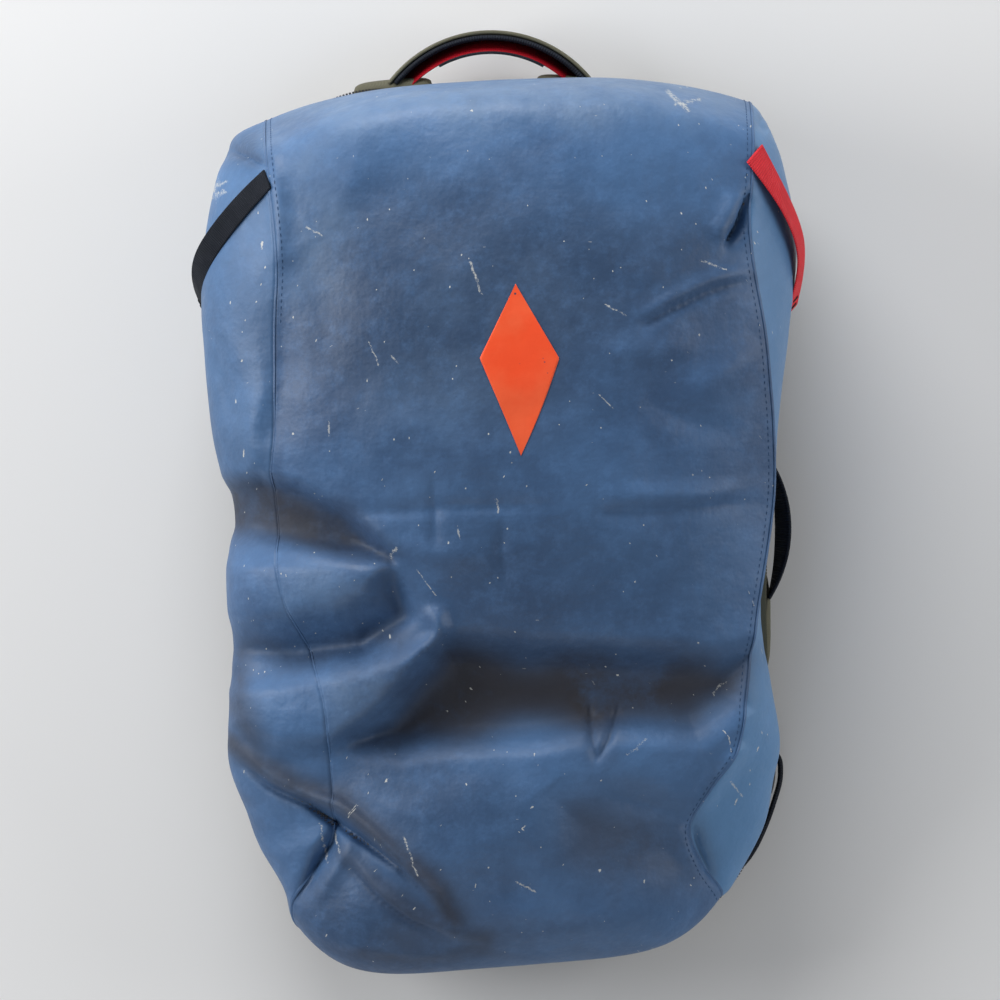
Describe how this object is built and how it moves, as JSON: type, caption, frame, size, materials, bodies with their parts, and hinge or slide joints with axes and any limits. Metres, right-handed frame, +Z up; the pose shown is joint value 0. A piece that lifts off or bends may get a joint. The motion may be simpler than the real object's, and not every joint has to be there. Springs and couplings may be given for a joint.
{
  "type": "clamshell travel backpack",
  "caption": "Clamshell travel backpack of coated fabric lying on its back, with a hinged zip lid, carry handles, shoulder straps and tuck-away hip wings.",
  "frame": {"origin": "centre of the bag's outline on the surface that it lies on", "axes": "+X to the wearer's right as the front is seen, +Y to the top of the bag, +Z up through the front"},
  "size_m": [0.383, 0.5944, 0.1936],
  "materials": {
    "coated_fabric": "semi-gloss coated woven fabric, scuffed",
    "black_webbing": "woven webbing",
    "red_webbing": "woven webbing",
    "emblem_film": "printed film",
    "zip_tape": "woven tape with moulded teeth",
    "grey_mesh": "spacer mesh",
    "olive_nylon": "twill nylon",
    "stiffener": "satin sheet",
    "grey_lining": "plain lining",
    "red_lining": "plain weave",
    "slider_metal": "satin",
    "black_plastic": "moulded"
  },
  "bodies": {
    "root": {"back_panel": "olive_nylon", "frame_sheet": "stiffener", "rim_wall": "olive_nylon", "zip_back": "zip_tape", "zip_end_tabs": "zip_tape", "hinge_strip": "olive_nylon", "laptop_sleeve": "grey_lining", "handle_anchors": "olive_nylon", "side_handle_tabs": "black_webbing", "strap_yoke": "olive_nylon", "back_pad_left": "grey_mesh", "back_pad_right": "grey_mesh", "lumbar_pad": "grey_mesh", "strap_anchors": "olive_nylon"},
    "lid": {"front_panel": "coated_fabric", "gusset_left": "coated_fabric", "gusset_right": "coated_fabric", "seam_bead_left": "coated_fabric", "seam_bead_right": "coated_fabric", "side_webbing_left": "black_webbing", "side_webbing_right": "red_webbing", "emblem": "emblem_film", "lid_rim": "black_webbing", "zip_lid": "zip_tape", "lid_pocket": "grey_mesh", "lid_pocket_binding": "black_webbing"},
    "top_handle": {"handle_cover": "olive_nylon", "handle_core": "black_webbing", "handle_lining": "red_lining"},
    "side_handle": {"side_handle": "black_webbing"},
    "slider_upper": {"zip_slider_upper": "slider_metal"},
    "slider_lower": {"zip_slider_lower": "slider_metal"},
    "pull_upper": {"zip_pull_upper": "black_plastic"},
    "pull_lower": {"zip_pull_lower": "black_plastic"},
    "shoulder_strap_left": {"shoulder_pad_left": "olive_nylon", "shoulder_webbing_left": "black_webbing", "ladder_lock_left": "black_plastic", "sternum_rail_left": "black_plastic"},
    "shoulder_strap_right": {"shoulder_pad_right": "olive_nylon", "shoulder_webbing_right": "black_webbing", "ladder_lock_right": "black_plastic", "sternum_rail_right": "black_plastic"},
    "lower_strap_left": {"lower_webbing_left": "black_webbing"},
    "lower_strap_right": {"lower_webbing_right": "black_webbing"},
    "sternum_left": {"sternum_clip_left": "black_plastic", "sternum_webbing_left": "black_webbing", "sternum_buckle_left": "black_plastic"},
    "sternum_right": {"sternum_clip_right": "black_plastic", "sternum_webbing_right": "black_webbing", "sternum_buckle_right": "black_plastic"},
    "hip_left": {"hip_wing_left": "grey_mesh", "hip_webbing_left": "black_webbing"},
    "hip_right": {"hip_wing_right": "grey_mesh", "hip_webbing_right": "black_webbing"},
    "hip_buckle_left": {"hip_buckle_left": "black_plastic"},
    "hip_buckle_right": {"hip_buckle_right": "black_plastic"}
  },
  "joints": [
    {"name": "lid_hinge", "type": "hinge", "parent": "root", "child": "lid", "pos_m": [-0.1515, 0, 0.0486], "axis": [0, -1, 0], "range_deg": [0, 95]},
    {"name": "top_handle_fold", "type": "hinge", "parent": "root", "child": "top_handle", "pos_m": [-0.0055, 0.2712, 0.0467], "axis": [1, 0, 0], "range_deg": [0, 40]},
    {"name": "side_handle_fold", "type": "hinge", "parent": "root", "child": "side_handle", "pos_m": [0.1707, -0.018, 0.0442], "axis": [0, -1, 0], "range_deg": [0, 30]},
    {"name": "slider_upper_travel", "type": "slide", "parent": "root", "child": "slider_upper", "axis": [0, 1, 0], "range_m": [0, 0.04]},
    {"name": "slider_lower_travel", "type": "slide", "parent": "root", "child": "slider_lower", "axis": [0, -1, 0], "range_m": [0, 0.29]},
    {"name": "pull_upper_swing", "type": "hinge", "parent": "slider_upper", "child": "pull_upper", "pos_m": [0.1745, 0.1385, 0.048], "axis": [0, 0, -1], "range_deg": [0, 120]},
    {"name": "pull_lower_swing", "type": "hinge", "parent": "slider_lower", "child": "pull_lower", "pos_m": [0.1745, 0.1215, 0.048], "axis": [0, 0, 1], "range_deg": [0, 120]},
    {"name": "shoulder_strap_left_swing", "type": "hinge", "parent": "root", "child": "shoulder_strap_left", "pos_m": [-0.064, 0.1755, 0.00775], "axis": [1, 0, 0], "range_deg": [0, 15]},
    {"name": "lower_strap_left_swing", "type": "hinge", "parent": "root", "child": "lower_strap_left", "pos_m": [-0.116, -0.2535, 0.0023], "axis": [-1, 0, 0], "range_deg": [0, 27]},
    {"name": "sternum_left_slide", "type": "slide", "parent": "shoulder_strap_left", "child": "sternum_left", "axis": [0, 1, 0], "range_m": [-0.085, 0.003]},
    {"name": "hip_left_pull_out", "type": "slide", "parent": "root", "child": "hip_left", "axis": [-1, 0, 0], "range_m": [0, 0.07]},
    {"name": "hip_buckle_left_slide", "type": "slide", "parent": "hip_left", "child": "hip_buckle_left", "axis": [1, 0, 0], "range_m": [0, 0.025]},
    {"name": "shoulder_strap_right_swing", "type": "hinge", "parent": "root", "child": "shoulder_strap_right", "pos_m": [0.064, 0.1755, 0.00775], "axis": [1, 0, 0], "range_deg": [0, 15]},
    {"name": "lower_strap_right_swing", "type": "hinge", "parent": "root", "child": "lower_strap_right", "pos_m": [0.116, -0.2535, 0.0023], "axis": [-1, 0, 0], "range_deg": [0, 27]},
    {"name": "sternum_right_slide", "type": "slide", "parent": "shoulder_strap_right", "child": "sternum_right", "axis": [0, 1, 0], "range_m": [-0.085, 0.003]},
    {"name": "hip_right_pull_out", "type": "slide", "parent": "root", "child": "hip_right", "axis": [1, 0, 0], "range_m": [0, 0.07]},
    {"name": "hip_buckle_right_slide", "type": "slide", "parent": "hip_right", "child": "hip_buckle_right", "axis": [-1, 0, 0], "range_m": [0, 0.025]}
  ],
  "couplings": [
    {"joint": "lower_strap_left_swing", "follows": "shoulder_strap_left_swing", "ratio": 1.75},
    {"joint": "lower_strap_right_swing", "follows": "shoulder_strap_right_swing", "ratio": 1.75}
  ]
}
